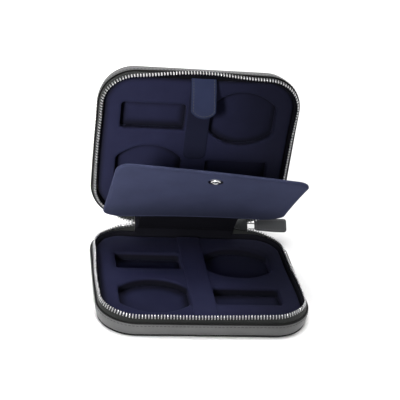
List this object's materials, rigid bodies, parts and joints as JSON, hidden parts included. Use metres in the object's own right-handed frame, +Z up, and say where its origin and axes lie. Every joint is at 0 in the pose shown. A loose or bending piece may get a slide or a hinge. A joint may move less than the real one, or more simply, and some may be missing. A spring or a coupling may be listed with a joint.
{
  "type": "watch travel case",
  "caption": "Zip-round travel case for watches: two leather-covered trays joined by a soft spine, with cut-out inserts, a hinged divider and a snap tongue.",
  "frame": {"origin": "middle of the base's underside, on the surface that the case stands on", "axes": "+X to the right along the spine, +Y from the front of the case towards the spine, +Z up; the lid is modelled standing open at a right angle"},
  "size_m": [0.1833, 0.1627, 0.1627],
  "materials": {
    "grained_leather": "black grained leather with a satin sheen",
    "leather_edge": "black painted leather edge and piping",
    "pull_leather": "charcoal smooth leather with a creased border",
    "stiffener_board": "brown fibreboard, hidden between leather and lining",
    "dark_lining": "black microsuede",
    "navy_suede": "navy microsuede with a short soft nap",
    "insert_foam": "navy microsuede over firm foam",
    "zip_tape": "charcoal woven zip tape",
    "zip_metal": "bright polished nickel",
    "gunmetal": "dark polished gunmetal"
  },
  "bodies": {
    "base": {"base_outer_panel": "grained_leather", "base_piping": "leather_edge", "base_side_wall": "grained_leather", "base_wall_binding": "leather_edge", "base_board_tray": "stiffener_board", "base_wall_lining": "dark_lining", "base_floor_lining": "navy_suede", "base_insert": "insert_foam", "base_centre_band": "navy_suede", "base_zip_tape": "zip_tape", "base_zip_teeth": "zip_metal", "base_end_stops": "zip_metal", "spine_leather_lower": "grained_leather", "spine_lining_lower": "dark_lining", "divider_anchor": "dark_lining"},
    "spine": {"spine_fold": "grained_leather"},
    "lid": {"lid_outer_panel": "grained_leather", "lid_piping": "leather_edge", "lid_side_wall": "grained_leather", "lid_wall_binding": "leather_edge", "lid_board_tray": "stiffener_board", "lid_wall_lining": "dark_lining", "lid_floor_lining": "navy_suede", "lid_insert": "insert_foam", "lid_centre_band": "navy_suede", "lid_zip_tape": "zip_tape", "lid_zip_teeth": "zip_metal", "lid_end_stops": "zip_metal", "spine_leather_upper": "grained_leather", "spine_lining_upper": "dark_lining", "tongue_anchor": "dark_lining"},
    "divider": {"divider_hinge_strip": "dark_lining", "divider_board": "stiffener_board", "divider_front_cover": "navy_suede", "divider_rear_cover": "navy_suede", "divider_edge_binding": "navy_suede", "press_stud_cap": "zip_metal", "press_stud_rivet": "zip_metal"},
    "tongue": {"tongue_face": "navy_suede", "tongue_backing": "navy_suede", "snap_socket": "zip_metal"},
    "slider": {"slider_body": "gunmetal", "slider_bridge": "zip_metal"},
    "pull": {"pull_link": "zip_metal", "pull_leather_front": "pull_leather", "pull_leather_back": "pull_leather"}
  },
  "joints": [
    {"name": "lid_hinge", "type": "hinge", "parent": "base", "child": "lid", "pos_m": [0, 0.0717, 0.021], "axis": [-1, 0, 0], "range_deg": [-90, 90]},
    {"name": "divider_hinge", "type": "hinge", "parent": "base", "child": "divider", "pos_m": [0, 0.0628, 0.021], "axis": [-1, 0, 0], "range_deg": [-53, 53]},
    {"name": "tongue_hinge", "type": "hinge", "parent": "lid", "child": "tongue", "pos_m": [0, 0.0763, 0.1557], "axis": [-1, 0, 0], "range_deg": [-34, 34]},
    {"name": "spine_turn", "type": "hinge", "parent": "base", "child": "spine", "pos_m": [0, 0.0717, 0.021], "axis": [-1, 0, 0], "range_deg": [-45, 45]},
    {"name": "slider_slide", "type": "slide", "parent": "spine", "child": "slider", "axis": [1, 0, 0], "range_m": [0, 0.004]},
    {"name": "pull_hinge", "type": "hinge", "parent": "slider", "child": "pull", "pos_m": [0.0582, 0.07386, 0.01884], "axis": [0, 0.7071, 0.7071], "range_deg": [0, 18]}
  ],
  "couplings": [
    {"joint": "divider_hinge", "follows": "lid_hinge", "ratio": 0.58889},
    {"joint": "tongue_hinge", "follows": "lid_hinge", "ratio": 0.37778},
    {"joint": "spine_turn", "follows": "lid_hinge", "ratio": 0.5}
  ]
}
